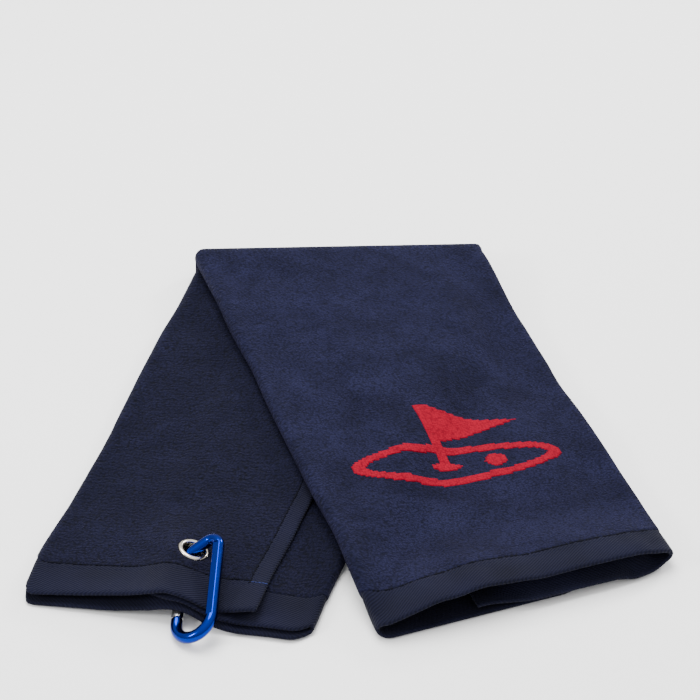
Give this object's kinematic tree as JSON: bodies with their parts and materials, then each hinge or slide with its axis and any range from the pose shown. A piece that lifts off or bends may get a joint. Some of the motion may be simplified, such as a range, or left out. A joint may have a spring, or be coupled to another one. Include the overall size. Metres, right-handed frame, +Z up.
{
  "type": "golf towel",
  "caption": "Navy terry golf towel folded in three and then across, with twill hems, a woven golf motif, a metal eyelet and a small carabiner for hanging it from a bag.",
  "frame": {"origin": "middle of the underside of the whole part, on the surface that the towel lies on", "axes": "+Z up from that surface, +Y towards the crosswise fold, +X to the right seen from the hems, towards the front leg's hem"},
  "size_m": [0.3166, 0.3019, 0.0241],
  "materials": {
    "terry": "sheared terry pile",
    "hem_twill": "flat-woven twill",
    "thread": "lockstitch thread",
    "motif_yarn": "jacquard pile",
    "eyelet_nickel": "nickel plated",
    "anodised_blue": "blue anodised, bright dipped",
    "gate_aluminium": "plain polished",
    "pin_steel": "drawn steel"
  },
  "bodies": {
    "towel": {"middle_panel": "terry", "right_flap": "terry", "left_flap": "terry", "clip_corner": "terry", "side_hem_left_flap": "hem_twill", "side_hem_right_flap": "hem_twill", "end_hem_front": "hem_twill", "end_hem_back": "hem_twill", "stitching_front_hem": "thread", "stitching_back_hem": "thread", "stitching_side_hem": "thread", "woven_motif": "motif_yarn", "eyelet_flange": "eyelet_nickel", "eyelet_washer": "eyelet_nickel"},
    "carabiner": {"carabiner_frame": "anodised_blue", "gate_hinge_rivet": "pin_steel"},
    "gate": {"carabiner_gate": "gate_aluminium", "gate_latch_pin": "pin_steel", "gate_spring": "pin_steel"},
    "plunger": {"gate_plunger": "pin_steel"}
  },
  "joints": [
    {"name": "carabiner_swing", "type": "hinge", "parent": "towel", "child": "carabiner", "pos_m": [-0.07771, -0.0968, 0.01376], "axis": [0, 0, 1], "range_deg": [-20, 20]},
    {"name": "gate_open", "type": "hinge", "parent": "carabiner", "child": "gate", "pos_m": [-0.0838, -0.13123, 0.00457], "axis": [0.5084, 0.1371, -0.8501], "range_deg": [0, 25], "stiffness_Nm_per_rad": 0.02, "springref_deg": -22.92, "deforming": ["clip_corner"]},
    {"name": "plunger_slide", "type": "slide", "parent": "gate", "child": "plunger", "axis": [0.0548, 0.9801, 0.1908], "range_m": [0, 0.00085]}
  ],
  "couplings": [
    {"joint": "plunger_slide", "follows": "gate_open", "m_per_rad": 0.0017}
  ]
}
